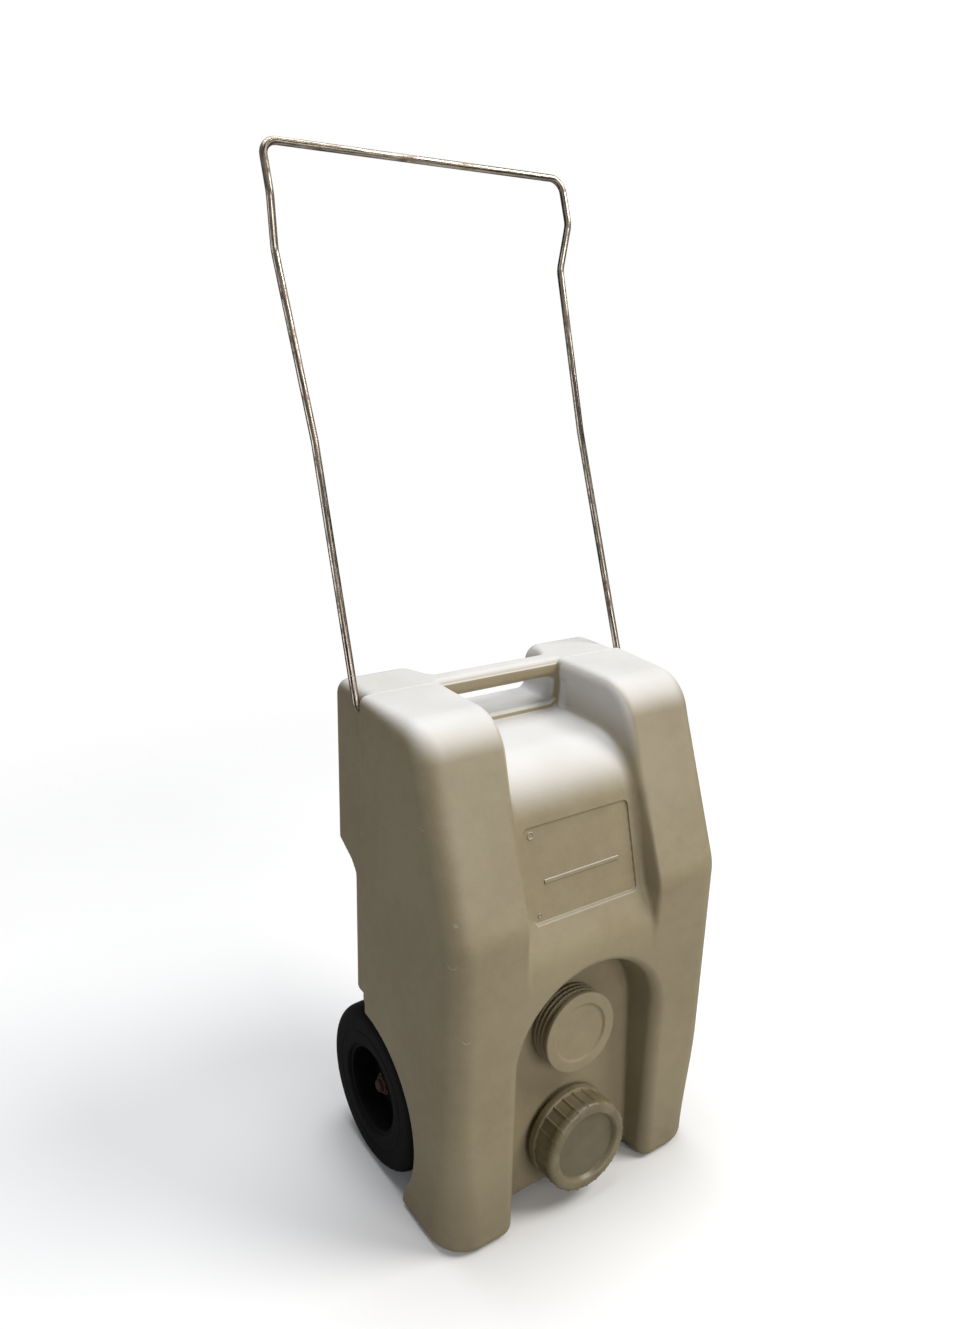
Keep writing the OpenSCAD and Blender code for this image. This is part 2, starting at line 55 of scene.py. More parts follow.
tankDepth = (tankHigh.y - tankLow.y) / mm
pivot = Vector(joints["handle_fold"]["pos_m"])
axleAt = Vector(joints["wheel_right_spin"]["pos_m"])
axleY = (axleAt.y - tankLow.y) / mm
axleZ = axleAt.z / mm


# Millimetres across, back from the front of the legs, and up, as a point of the frame
def spot(x, y, z):
    return Vector((x * mm, tankLow.y + y * mm, z * mm))


# Shader maths: a socket that takes part in Python expressions

class Tone:
    def __init__(self, tree, socket=None):
        self.tree = tree
        self.socket = socket

    def node(self, kind, settings, sockets, out=0):
        made = self.tree.nodes.new(kind)
        for key, value in settings.items():
            setattr(made, key, value)
        for key, value in sockets.items():
            if isinstance(value, Tone):
                self.tree.links.new(value.socket, made.inputs[key])
            else:
                made.inputs[key].default_value = value
        return Tone(self.tree, made.outputs[out]) if made.outputs else self

    def maths(self, operation, first, second):
        return self.node("ShaderNodeMath", {"operation": operation}, {0: first, 1: second})

    def __add__(self, other):
        return self.maths("ADD", self, other)

    def __radd__(self, other):
        return self.maths("ADD", other, self)

    def __sub__(self, other):
        return self.maths("SUBTRACT", self, other)

    def __rsub__(self, other):
        return self.maths("SUBTRACT", other, self)

    def __mul__(self, other):
        return self.maths("MULTIPLY", self, other)

    def __rmul__(self, other):
        return self.maths("MULTIPLY", other, self)

    def __abs__(self):
        return self.maths("ABSOLUTE", self, 0.0)

    def noise(self, where, scale, detail=2.0, rough=0.5):
        sockets = {"Vector": where, "Scale": scale, "Detail": detail, "Roughness": rough}
        return self.node("ShaderNodeTexNoise", {}, sockets)

    def ramp(self, value, low, high):  # 0 below low, 1 above high, soft between
        sockets = {"Value": value, "From Min": low, "From Max": high, "To Min": 0.0, "To Max": 1.0}
        return self.node("ShaderNodeMapRange", {"interpolation_type": "SMOOTHSTEP"}, sockets)

    def fall(self, value, low, high):  # 1 below low, 0 above high
        return 1.0 - self.ramp(value, low, high)

    def distance(self, where, place):
        return self.node("ShaderNodeVectorMath", {"operation": "DISTANCE"}, {0: where, 1: place}, 1)

    def stretch(self, where, scale):
        return self.node("ShaderNodeMapping", {}, {"Vector": where, "Scale": scale})

    def blend(self, factor, first, second):  # colours
        return self.node("ShaderNodeMix", {"data_type": "RGBA"}, {0: factor, 6: first, 7: second}, 2)

    def parts(self, vector):
        split = self.node("ShaderNodeSeparateXYZ", {}, {0: vector}).socket.node
        return [Tone(self.tree, socket) for socket in split.outputs]

    def bump(self, height, strength, distance):
        sockets = {"Height": height, "Strength": strength, "Distance": distance}
        return self.node("ShaderNodeBump", {}, sockets)


def paint(r, g, b):
    return (r, g, b, 1.0)


# An empty material, the maker of its nodes, and its object coordinates
def newFinish(name):
    finish = bpy.data.materials.new(name)
    finish.use_nodes = True
    finish.node_tree.nodes.clear()
    tone = Tone(finish.node_tree)
    where = tone.node("ShaderNodeTexCoord", {}, {}, "Object")
    return finish, tone, where


# The shader takes the links and values given
def dress(tone, sockets):
    shader = tone.node("ShaderNodeBsdfPrincipled", {}, sockets)
    tone.node("ShaderNodeOutputMaterial", {}, {"Surface": shader})


# Finishes

# Pairs are the low and high end of a fade, in metres or in how far a face looks that way
tankLook = {
    "shade": paint(0.258, 0.214, 0.134), "tint": paint(0.296, 0.251, 0.160),
    # The pale colour and its shares below paint a sky sheen, a painted reflection, on the top, the
    # channel's walls and the hand hole
    "skySheen": paint(0.69, 0.70, 0.72), "grime": paint(0.15, 0.125, 0.085),
    "scratch": paint(0.50, 0.48, 0.43), "skySheenShare": 0.85, "rough": 0.54, "grimeZ": 0.14,
    "topFacing": (0.22, 1.0), "topZ": (0.28, 0.46),
    "wallSheenShare": 0.75, "wallZ": (0.455, 0.53), "wallX": (0.100, 0.112), "wallFacing": (0.25, 0.8),
    "holeSheenShare": 0.9, "holeX": (0.076, 0.082), "holeY": (-0.03, -0.01),
    "holeFloorZ": (0.482, 0.492), "holeRoofZ": (0.517, 0.523),
    "seamClear": (0.002, 0.007), "seamNick": (0.0006, 0.0016), "nickFacing": (0.6, 0.9),
    "dents": (((-160, 10, 379), 6), ((-161, 12, 340), 5), ((-163, 60, 455), 4), ((-150, 2, 262), 4)),
    "dentLine": 0.0011, "dentBelow": (-0.001, 0.004)}


def tankFinish():
    look = tankLook
    finish, tone, where = newFinish("mouldedPolythene")
    faceX, faceY, faceZ = tone.parts(tone.node("ShaderNodeTexCoord", {}, {}, "Normal"))
    x, y, z = tone.parts(where)
    seamY = (tankLow.y / mm + tankShape["seam"]) * mm
    fromSeam = abs(y - seamY)
    # Painted highlight: faces that look up, high on the tank, are painted paler as a sky reflection
    up = tone.ramp(faceZ, *look["topFacing"]) * tone.ramp(z, *look["topZ"])
    # The painted sky sheen of the top also reaches down the channel's walls and into the hand hole, where
    # it stands for reflected light
    across = abs(x)
    inward = 0.0 - tone.maths("SIGN", x, 0.0) * faceX
    wallSheen = tone.ramp(z, *look["wallZ"]) * tone.fall(across, *look["wallX"])
    wallSheen = wallSheen * tone.ramp(inward, *look["wallFacing"])
    holeSheen = tone.fall(across, *look["holeX"]) * tone.ramp(y, *(seamY + end for end in look["holeY"]))
    holeSheen = holeSheen * tone.ramp(z, *look["holeFloorZ"]) * tone.fall(z, *look["holeRoofZ"])
    innerSheen = tone.maths("MAXIMUM", wallSheen * look["wallSheenShare"], holeSheen * look["holeSheenShare"])
    up = tone.maths("MAXIMUM", up, innerSheen * tone.ramp(fromSeam, *look["seamClear"]))
    broad = tone.noise(where, 7.0, 3.0)
    mottle = tone.noise(where, 60.0, 4.0, 0.6)
    peel = tone.noise(where, 420.0, 2.0)
    speckle = tone.ramp(tone.noise(where, 900.0, 1.0), 0.68, 0.76)
    colour = tone.blend(tone.ramp(broad * 0.6 + mottle * 0.4, 0.35, 0.65), look["shade"], look["tint"])
    # The painted sky sheen goes into the colour here
    colour = tone.blend(up * look["skySheenShare"] * (broad * 0.6 + 0.6), colour, look["skySheen"])
    low = tone.ramp(look["grimeZ"] - z, 0.0, look["grimeZ"]) * tone.ramp(mottle, 0.25, 0.75)
    colour = tone.blend(low * 0.45 + speckle * 0.12, colour, look["grime"])
    # Fine scratches run up and down the faces, and short pale nicks follow the parting line
    drawn = tone.noise(tone.stretch(where, (260.0, 260.0, 18.0)), 1.0, 3.0, 0.6)
    scratch = tone.ramp(drawn, 0.72, 0.78) * tone.ramp(mottle, 0.5, 0.7)
    nick = tone.fall(fromSeam, *look["seamNick"]) * tone.fall(abs(faceY), *look["nickFacing"])
    nick = nick * tone.ramp(tone.noise(where, 130.0), 0.55, 0.62)
    colour = tone.blend(scratch * 0.35 + nick * 0.5, colour, look["scratch"])
    height = peel * 0.7 + mottle * 0.5 - scratch * 0.3
    # Knocks have left crescents on the front edge
    for place, size in look["dents"]:
        rim = abs(tone.distance(where, spot(*place)) - size * mm)
        below = tone.ramp(place[2] * mm - z, *look["dentBelow"])
        crescent = tone.fall(rim, 0.0, look["dentLine"]) * below
        colour = tone.blend(crescent * 0.4, colour, look["scratch"])
        height = height - crescent * 1.5
    dress(tone, {
        "Base Color": colour, "Roughness": peel * 0.14 + mottle * 0.12 + (look["rough"] - 0.13),
        "Normal": tone.bump(height, 0.5, 0.0005), "Specular IOR Level": 0.32})
    return finish


capLook = {
    "shade": paint(0.148, 0.123, 0.070), "tint": paint(0.210, 0.178, 0.105),
    # The last colour is painted shade for the sunk disc
    "glow": paint(0.28, 0.24, 0.145), "sunk": paint(0.105, 0.09, 0.056)}


def capFinish():
    look = capLook
    finish, tone, where = newFinish("waxyCapPlastic")
    cloud = tone.noise(where, 45.0, 3.0)
    grain = tone.noise(where, 700.0, 2.0)
    colour = tone.blend(tone.ramp(cloud, 0.3, 0.7), look["shade"], look["tint"])
    colour = tone.blend(tone.ramp(grain, 0.62, 0.8) * 0.25, colour, look["glow"])
    # Painted shade: the sunk disc is painted darker, as the shade in its hollow
    middle = neckPlace(tankShape["neckDrop"]) @ Vector((0, 0, capShape["discZ"] * mm))
    discR = capShape["discR"] * mm
    sunk = tone.fall(tone.distance(where, middle), discR, discR * 1.06)
    colour = tone.blend(sunk * 0.6, colour, look["sunk"])
    dress(tone, {
        "Base Color": colour, "Roughness": grain * 0.15 + cloud * 0.1 + 0.27,
        "Normal": tone.bump(grain + cloud, 0.2, 0.0004),
        "Subsurface Weight": 0.2, "Subsurface Scale": 0.004})
    return finish


wireLook = {
    # The first two colours paint reflection bands, bright and dark along the wire; the brown is the wire's
    # real tarnish
    "glintBand": paint(0.64, 0.56, 0.47), "darkBand": paint(0.05, 0.042, 0.034),
    "brown": paint(0.08, 0.045, 0.025)}


def wireFinish():
    look = wireLook
    finish, tone, where = newFinish("nickelTarnishAndGlint")
    run = tone.node("ShaderNodeUVMap", {"uv_map": "run"}, {})
    streak = tone.noise(tone.stretch(run, (5.0, 15.0, 1.0)), 1.0, 3.0, 0.6)
    fine = tone.noise(tone.stretch(run, (60.0, 26.0, 1.0)), 1.0, 2.0)
    patch = tone.noise(where, 55.0, 4.0, 0.65)
    tarnish = tone.ramp(patch + streak * 0.35, 0.66, 0.86)
    # Painted reflection: bright and dark bands along the wire are painted into the metal's colour
    colour = tone.blend(tone.ramp(streak * 0.75 + fine * 0.25, 0.41, 0.57), look["darkBand"], look["glintBand"])
    colour = tone.blend(tarnish * 0.75, colour, look["brown"])
    dress(tone, {
        "Base Color": colour, "Metallic": 1.0 - tarnish * 0.45,
        "Roughness": tarnish * 0.3 + fine * 0.16 + 0.2,
        "Normal": tone.bump(fine + patch, 0.3, 0.0003)})
    return finish


rubberLook = {
    "black": paint(0.0020, 0.0020, 0.0020), "worn": paint(0.0045, 0.0045, 0.0043),
    "dust": paint(0.030, 0.028, 0.025)}


def rubberFinish(name, dusty):
    look = rubberLook
    finish, tone, where = newFinish(name)
    scuff = tone.noise(where, 38.0, 4.0, 0.65)
    grain = tone.noise(where, 800.0, 2.0)
    colour = tone.blend(tone.ramp(scuff, 0.35, 0.7), look["black"], look["worn"])
    dust = tone.ramp(tone.noise(where, 140.0, 4.0, 0.7), 0.52, 0.8)
    colour = tone.blend(dust * dusty, colour, look["dust"])
    dress(tone, {
        "Base Color": colour, "Roughness": scuff * 0.22 + dust * 0.12 + 0.55,
        "Normal": tone.bump(grain + scuff * 0.6, 0.35, 0.0005), "Specular IOR Level": 0.10})
    return finish


# Dark and light rust, bare metal, and how much of it is rusted
steelLook = {
    "rust": (paint(0.022, 0.006, 0.004), paint(0.062, 0.014, 0.008), paint(0.05, 0.035, 0.03), 0.9),
    "axle": (paint(0.16, 0.07, 0.035), paint(0.34, 0.20, 0.12), paint(0.40, 0.37, 0.33), 0.45),
    "zinc": (paint(0.06, 0.04, 0.028), paint(0.11, 0.095, 0.08), paint(0.20, 0.19, 0.18), 0.35)}


def steelFinish(name, kind):
    dark, mid, bare, rusted = steelLook[kind]
    finish, tone, where = newFinish(name)
    patch = tone.noise(where, 160.0, 5.0, 0.65)
    flake = tone.noise(where, 900.0, 3.0, 0.6)
    crust = tone.ramp(patch + flake * 0.3, 0.95 - rusted * 0.75, 1.12 - rusted * 0.6)
    colour = tone.blend(tone.ramp(flake, 0.35, 0.65), dark, mid)
    colour = tone.blend(crust, bare, colour)
    dress(tone, {
        "Base Color": colour, "Metallic": 0.95 - crust * 0.85,
        "Roughness": crust * 0.4 + flake * 0.12 + 0.28,
        "Normal": tone.bump(crust + flake * 0.6, 0.45, 0.0004)})
    return finish


# Mesh helpers

def addPiece(name, mesh, finish, body):
    mesh.materials.append(finish)
    piece = bpy.data.objects.new(name, mesh)
    bpy.context.scene.collection.objects.link(piece)
    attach(piece, body)
    return piece


def meshFrom(name, points, faces, sharpAngle=None):
    mesh = bpy.data.meshes.new(name)
    mesh.from_pydata([tuple(point) for point in points], [], faces)
    shape = bmesh.new()
    shape.from_mesh(mesh)
    bmesh.ops.recalc_face_normals(shape, faces=shape.faces)
    shape.to_mesh(mesh)
    shape.free()
    mesh.shade_smooth()
    if sharpAngle:
        mesh.set_sharp_from_angle(angle=math.radians(sharpAngle))
    return mesh


# Faces of a prism whose two ends have n points each
def prismFaces(n):
    ends = [list(range(n)), list(range(n, 2 * n))]
    return ends + [[i, (i + 1) % n, n + (i + 1) % n, n + i] for i in range(n)]


# Points of an arc that rounds the corner p between a and b, in two or three dimensions
def roundCorner(a, p, b, radius, steps):
    u = (a - p).normalized()
    v = (b - p).normalized()
    half = u.angle(v) / 2
    sweep = math.pi - 2 * half
    if radius == 0 or sweep < 0.001:
        return [p]
    centre = p + (u + v).normalized() * (radius / math.sin(half))
    start = p + u * (radius / math.tan(half)) - centre
    end = p + v * (radius / math.tan(half)) - centre
    side = (end - start * math.cos(sweep)) / math.sin(sweep)
    turns = [sweep * i / steps for i in range(steps + 1)]
    return [centre + start * math.cos(turn) + side * math.sin(turn) for turn in turns]


# A path through corners (.., radius), with its first and last point kept
def softPath(corners, steps=6):
    points = [Vector(corner[:-1]) for corner in corners]
    path = [points[0]]
    for i in range(1, len(points) - 1):
        path += roundCorner(points[i - 1], points[i], points[i + 1], corners[i][-1], steps)
    return path + [points[-1]]


# A profile of (radius, distance) turned about the axis of a place
# swell(angle, radius, distance) adds to the radius
def lathe(name, profile, place, sides, closed=False, swell=None):
    points, first, pole = [], [], []
    for radius, distance in profile:
        first.append(len(points))
        pole.append(radius < 0.01)
        for j in range(1 if pole[-1] else sides):
            angle = 2 * math.pi * j / sides
            r = radius + (swell(angle, radius, distance) if swell else 0)
            point = Vector((r * math.cos(angle) * mm, r * math.sin(angle) * mm, distance * mm))
            points.append(place @ point)
    faces = []
    rings = len(profile)
    for i in range(rings if closed else rings - 1):
        k = (i + 1) % rings
        for j in range(sides):
            near = [first[i]] if pole[i] else [first[i] + j, first[i] + (j + 1) % sides]
            far = [first[k]] if pole[k] else [first[k] + (j + 1) % sides, first[k] + j]
            if len(near) + len(far) > 2:
                faces.append(near + far)
    return meshFrom(name, points, faces)


# A round bar along a path, with its length and its turn as a UV map
def sweepBar(name, path, radius, sides):
    points, faces, lengths = [], [], [0.0]
    side = Vector((0, 1, 0))
    for i, point in enumerate(path):
        along = (path[min(i + 1, len(path) - 1)] - path[max(i - 1, 0)]).normalized()
        side = (side - along * side.dot(along)).normalized()
        up = along.cross(side)
        if i:
            lengths.append(lengths[-1] + (point - path[i - 1]).length)
        for j in range(sides):
            angle = 2 * math.pi * j / sides
            points.append(point + (side * math.cos(angle) + up * math.sin(angle)) * radius)
    for i in range(len(path) - 1):
        for j in range(sides):
            k = (j + 1) % sides
            faces.append([i * sides + j, i * sides + k, (i + 1) * sides + k, (i + 1) * sides + j])
    last = (len(path) - 1) * sides
    faces += [list(range(sides - 1, -1, -1)), list(range(last, last + sides))]
    mesh = meshFrom(name, points, faces, 50)
    run = mesh.uv_layers.new(name="run")
    for face in mesh.polygons:
        turns = [index % sides for index in face.vertices]
        wraps = max(turns) - min(turns) > sides / 2
        for loop, index in zip(face.loop_indices, face.vertices):
            turn = index % sides
            turn += sides if wraps and turn < sides / 2 else 0
            run.data[loop].uv = (lengths[index // sides], turn / sides)
    return mesh


# A signed field becomes quads: one point in each cell that the surface crosses
def netSurface(field, lines):
    value = field(lines[0][:, None, None], lines[1][None, :, None], lines[2][None, None, :])
    inside = value < 0
    shape = tuple(size - 1 for size in inside.shape)
    corners = [(i & 1, i >> 1 & 1, i >> 2 & 1) for i in range(8)]
    count = np.zeros(shape, np.int8)
    for a, b, c in corners:
        count += inside[a:shape[0] + a, b:shape[1] + b, c:shape[2] + c]
    crossed = (count > 0) & (count < 8)
    cells = np.argwhere(crossed)
    number = np.full(shape, -1)
    number[crossed] = np.arange(len(cells))
    at = [cells + corner for corner in corners]
    level = [value[tuple(index.T)] for index in at]
    place = [np.column_stack([lines[k][index[:, k]] for k in range(3)]) for index in at]
    total = np.zeros((len(cells), 3))
    hits = np.zeros(len(cells))
    for i in range(8):
        for j in (i | 1, i | 2, i | 4):
            cut = (level[i] < 0) != (level[j] < 0)
            share = np.where(cut, level[i] / np.where(cut, level[i] - level[j], 1), 0)
            total += cut[:, None] * (place[i] + share[:, None] * (place[j] - place[i]))
            hits += cut
    faces = []
    for k in range(3):
        p, q = (k + 1) % 3, (k + 2) % 3
        low = inside.take(range(inside.shape[k] - 1), axis=k)
        high = inside.take(range(1, inside.shape[k]), axis=k)
        base = np.argwhere(low != high)
        base = base[(base[:, p] > 0) & (base[:, q] > 0) & (base[:, p] < shape[p]) & (base[:, q] < shape[q])]
        stepP, stepQ = np.eye(3, dtype=int)[p], np.eye(3, dtype=int)[q]
        moves = (stepP + stepQ, stepQ, 0 * stepP, stepP)
        quads = np.column_stack([number[tuple((base - move).T)] for move in moves])
        outward = low[tuple(base.T)]
        faces.append(np.where(outward[:, None], quads, quads[:, ::-1]))
    return total / hits[:, None], np.concatenate(faces)


# The field's slope at each point, measured over a short reach
def slopeOf(field, points, reach=0.05):
    slope = np.empty_like(points)
    for k in range(3):
        step = np.eye(3)[k] * reach
        slope[:, k] = (field(*(points + step).T) - field(*(points - step).T)) / (2 * reach)
    return slope


# Grid lines from low to high, closer together in the bands (middle, half width, step)
def gridLines(low, high, step, bands=()):
    lines = [low]
    while lines[-1] < high:
        steps = [fine for middle, half, fine in bands if abs(lines[-1] - middle) <= half]
        lines.append(lines[-1] + min(steps + [step]))
    return np.array(lines)


# Tank: a field of signed distances in millimetres, negative inside, whose zero is the moulded surface

tankShape = {
    "seam": 176, "rearDepth": 209, "rearHalf": 158.5, "slopeRun": 70, "breakZ": 353,
    "footR": 12, "shoulderR": 48, "breakR": 60, "seamR": 1.5, "ridgeH": 0.6, "ridgeHalf": 0.8,
    "edgeR": 23, "topEdgeR": 9, "topEdgeY": 60, "topEdgeZ": (430, 510),
    "toeR": 38, "toeZ": (10, 150), "soleR": 9, "soleGrowth": 0.35, "soleY": (15, 60), "soleZ": (10, 60),
    "rearEdgeR": 11, "bulgeZ": 340, "bulgeRise": 20, "bulgeUnderR": 7, "bulgeBackR": 18,
    "rampD": 16.5, "rampZ": 330, "footZ": (308, 352), "footShift": 6.5, "footDraft": 0.35, "footEdgeR": 4,
    "saddleZ": 486, "rollR": 65, "rollY": 108, "channelMid": -2.5, "midZ": (440, 500),
    "channelHalf": 73, "channelSpread": 0.03, "spreadZ": 480,
    "channelDraft": 0.38, "steepZ": (350, 430), "uprightZ": (430, 515), "channelFillet": 8,
    "channelEdgeR": 3, "shoulderEdgeR": 11, "shoulderEdgeZ": (400, 520), "gripEdgeY": 150,
    "notchHalf": 72.5, "notchZ": 493, "notchFillet": 8,
    "lipR": 5, "lipGrowth": ((4, 195, 212), (11, 215, 240)), "lipSideZ": (6, 4), "lipSideY": (180, 190),
    "gripW": 24, "gripT": 21, "gripR": 9.5, "gripEndR": 18, "gripEndY": (-4, 12), "gripEndZ": (-5, 10),
    "panelHalf": 64.5, "panelTop": 6.5, "panelL": 93, "panelDeep": 2.2, "panelR": 6, "panelEdgeR": 0.7,
    "recessDepth": 43.5, "recessZ": 195, "recessLean": 3.5, "recessHalf": 85, "recessDraft": 0.07,
    "recessFillet": 4, "recessEdgeR": 13, "neckDrop": 128, "boreR": 37, "boreL": 60,
    "bellyHalf": 84, "bellyZ": 10, "tailZ": 40, "footDepth": 96, "wellIn": 115.9,
    "archBack": 6, "archDrop": 7.5, "archR": 102.5, "wellRoofZ": 198.5,
    "heelR": 9, "wellEdgeR": 4}


# The greater of two fields, with the edge where they meet rounded
def roundMax(a, b, r):
    return np.minimum(np.maximum(a, b), -r) + np.hypot(np.maximum(a + r, 0), np.maximum(b + r, 0))


def roundMin(a, b, r):
    return -roundMax(-a, -b, r)


def fade(value, low, high):
    return np.clip((value - low) / (high - low), 0, 1)


def softFade(value, low, high):
    t = fade(value, low, high)
    return t * t * (3 - 2 * t)


def softFall(value, low, high):
    return softFade(-value, -high, -low)


def mix(a, b, share):
    return a + (b - a) * share


# Distance to a convex outline of corners (u, v, radius), counter-clockwise
def convexOutline(u, v, corners):
    sides = []
    for a, b in zip(corners, corners[1:] + corners[:1]):
        run = math.hypot(b[0] - a[0], b[1] - a[1])
        sides.append(((b[1] - a[1]) / run, (a[0] - b[0]) / run))
    away = [n[0] * (u - c[0]) + n[1] * (v - c[1]) for n, c in zip(sides, corners)]
    distance = away[0]
    for one in away[1:]:
        distance = np.maximum(distance, one)
    for i, (cornerU, cornerV, radius) in enumerate(corners):
        if radius:
            before, after = sides[i - 1], sides[i]
            inset = radius / (1 + before[0] * after[0] + before[1] * after[1])
            du = u - cornerU + (before[0] + after[0]) * inset
            dv = v - cornerV + (before[1] + after[1]) * inset
            within = (before[0] * dv >= before[1] * du) & (du * after[1] >= dv * after[0])
            distance = np.where(within, np.hypot(du, dv) - radius, distance)
    return distance


# Where the leaning floor of the channel starts, and its lean
def channelFloor():
    s = tankShape
    foot = (s["rampD"], s["rampZ"])
    middle = (s["rollY"], s["saddleZ"] - s["rollR"])
    away = math.hypot(middle[0] - foot[0], middle[1] - foot[1])
    turn = math.atan2(middle[1] - foot[1], middle[0] - foot[0]) + math.asin(s["rollR"] / away)
    tangent = (middle[0] - s["rollR"] * math.sin(turn), middle[1] + s["rollR"] * math.cos(turn))
    return foot, turn, tangent


floorFoot, floorTurn, floorTop = channelFloor()


def outerBlock(x, y, z):
    s = tankShape
    side = convexOutline(y, z, [
        (0, 0, s["footR"]), (tankDepth, 0, 0), (tankDepth, topZ, 0),
        (s["slopeRun"], topZ, s["shoulderR"]), (0, s["breakZ"], s["breakR"])])
    top = fade(y, s["topEdgeY"], s["seam"]) * fade(z, *s["topEdgeZ"])
    sole = s["soleR"] * (1 + s["soleGrowth"] * softFall(y, *s["soleY"]))
    edge = mix(mix(s["edgeR"], s["topEdgeR"], top), sole, softFall(z, *s["soleZ"]))
    toe = mix(s["edgeR"], s["toeR"], softFall(z, *s["toeZ"]))
    wall = roundMax(roundMax(-y, x - halfWidth, toe), -z, sole)
    front = np.maximum(roundMax(side, x - halfWidth, edge), wall)
    front = roundMax(front, y - s["seam"], s["seamR"])
    start = s["seam"] - 2 * s["rearEdgeR"]
    rear = np.maximum(y - s["rearDepth"], z - s["bulgeZ"] - 3 * s["bulgeRise"])
    bulge = convexOutline(y, z, [
        (start, s["bulgeZ"], 0), (s["rearDepth"], s["bulgeZ"], 0),
        (tankDepth, s["bulgeZ"] + s["bulgeRise"], s["bulgeUnderR"]), (tankDepth, topZ, s["bulgeBackR"]),
        (start, topZ, 0)])
    back = roundMax(roundMin(rear, bulge, s["bulgeUnderR"]), x - s["rearHalf"], s["rearEdgeR"])
    back = np.maximum(back, np.maximum(start - y, s["tailZ"] / 2 - z))
    return np.minimum(front, back)


def cutChannel(body, x, y, z):
    s = tankShape
    lean = (floorTop[0] - floorFoot[0]) / (floorTop[1] - floorFoot[1])
    lipY = floorTop[0] + lean * (s["saddleZ"] - floorTop[1])
    groundY, farY = floorFoot[0] - lean * s["rampZ"], tankDepth * 2
    solid = convexOutline(y, z, [
        (groundY, 0, 0), (farY, 0, 0), (farY, s["saddleZ"], 0), (lipY, s["saddleZ"], s["rollR"])])
    # At the foot the floor comes forward until it is lost in the front
    low = 1 - softFade(z, *s["footZ"])
    solid = solid - s["footShift"] * low
    # The walls lean out most at mid height, and stand upright at the top
    steep = softFade(z, *s["steepZ"])
    draft = s["channelDraft"] * (0.5 + 0.5 * steep) * (1 - softFade(z, *s["uprightZ"]))
    draft = mix(draft, s["footDraft"], low)
    wall = s["channelHalf"] + s["channelSpread"] * np.maximum(s["spreadZ"] - z, 0)
    side = (x - wall - draft * np.maximum(solid, 0)) / np.sqrt(1 + draft * draft)
    void = roundMax(-solid, side, s["channelFillet"] * (0.45 + 0.55 * steep))
    void = roundMax(void, y - s["seam"], s["seamR"])
    edge = mix(s["channelEdgeR"], s["shoulderEdgeR"], fade(z, *s["shoulderEdgeZ"]))
    edge = mix(edge, s["gripR"], fade(y, s["gripEdgeY"], s["seam"]))
    return roundMax(body, -void, mix(edge, s["footEdgeR"], low))


# The hand hole under the grip, open to the back
def cutNotch(body, x, y, z):
    s = tankShape
    gripZ, gripBack = topZ - s["gripT"], s["seam"] + s["gripW"]
    clear = roundMin(gripBack - y, z - gripZ, s["gripR"])
    near = fade(y - gripBack, *s["gripEndY"]) * fade(z - gripZ, *s["gripEndZ"])
    end = mix(s["gripR"], s["gripEndR"], near)
    void = roundMax(roundMax(clear, x - s["notchHalf"], end), s["notchZ"] - z, s["notchFillet"])
    void = np.maximum(void, s["seam"] - 2 * s["lipR"] - y)
    # The lip's radius grows towards the back, and beside the hole it is the grip's
    edge = s["lipR"]
    for growth, start, stop in s["lipGrowth"]:
        edge = edge + growth * fade(y, start, stop)
    overLip, underGrip = s["lipSideZ"]
    beside = fade(z, s["notchZ"] + overLip, gripZ - underGrip) * (1 - fade(y, *s["lipSideY"]))
    return roundMax(body, -void, mix(edge, s["gripR"], beside))


# Distances in front of the recess's leaning floor, and up along it from the blank neck
def recessPlace(y, z):
    s = tankShape
    lean = math.radians(s["recessLean"])
    back, up = y - s["recessDepth"], z - s["recessZ"]
    return up * math.sin(lean) - back * math.cos(lean), back * math.sin(lean) + up * math.cos(lean)


def cutRecess(body, x, y, z):
    s = tankShape
    ahead, up = recessPlace(y, z)
    arch = np.hypot(x, np.maximum(up, 0)) - s["recessHalf"] - s["recessDraft"] * ahead
    void = roundMax(-ahead, arch, s["recessFillet"])
    edge = s["recessEdgeR"] * (1 - 0.5 * fade(up, 0, s["recessHalf"]))  # half as round at the arch's top
    body = roundMax(body, -void, edge)
    around = np.hypot(x, up + s["neckDrop"])
    return np.maximum(body, -np.maximum(around - s["boreR"], np.abs(ahead) - s["boreL"]))


def cutWells(body, x, y, z):
    s = tankShape
    body = roundMax(body, -np.maximum(x - s["bellyHalf"], z - s["bellyZ"]), s["wellEdgeR"])
    tail = np.maximum(np.maximum(x - s["wellIn"], s["footDepth"] - y), z - s["tailZ"])
    body = roundMax(body, -tail, s["wellEdgeR"])
    archZ = axleZ - s["archDrop"]
    arch = s["archR"] - np.hypot(y - axleY - s["archBack"], z - archZ)
    heel = roundMax(arch, np.minimum(y - s["footDepth"], archZ - z), s["heelR"])
    kept = np.maximum(heel, np.minimum(y - s["seam"], s["wellRoofZ"] - z))
    return roundMax(body, -np.maximum(s["wellIn"] - x, -kept), s["wellEdgeR"])


def cutPanel(body, x, y, z):
    s = tankShape
    down = -(y - floorTop[0]) * math.cos(floorTurn) - (z - floorTop[1]) * math.sin(floorTurn)
    above = -(y - floorTop[0]) * math.sin(floorTurn) + (z - floorTop[1]) * math.cos(floorTurn)
    middle = s["panelTop"] + s["panelL"] / 2
    plate = roundMax(x - s["panelHalf"], np.abs(down - middle) - s["panelL"] / 2, s["panelR"])
    return roundMax(body, -np.maximum(plate, -above - s["panelDeep"]), s["panelEdgeR"])


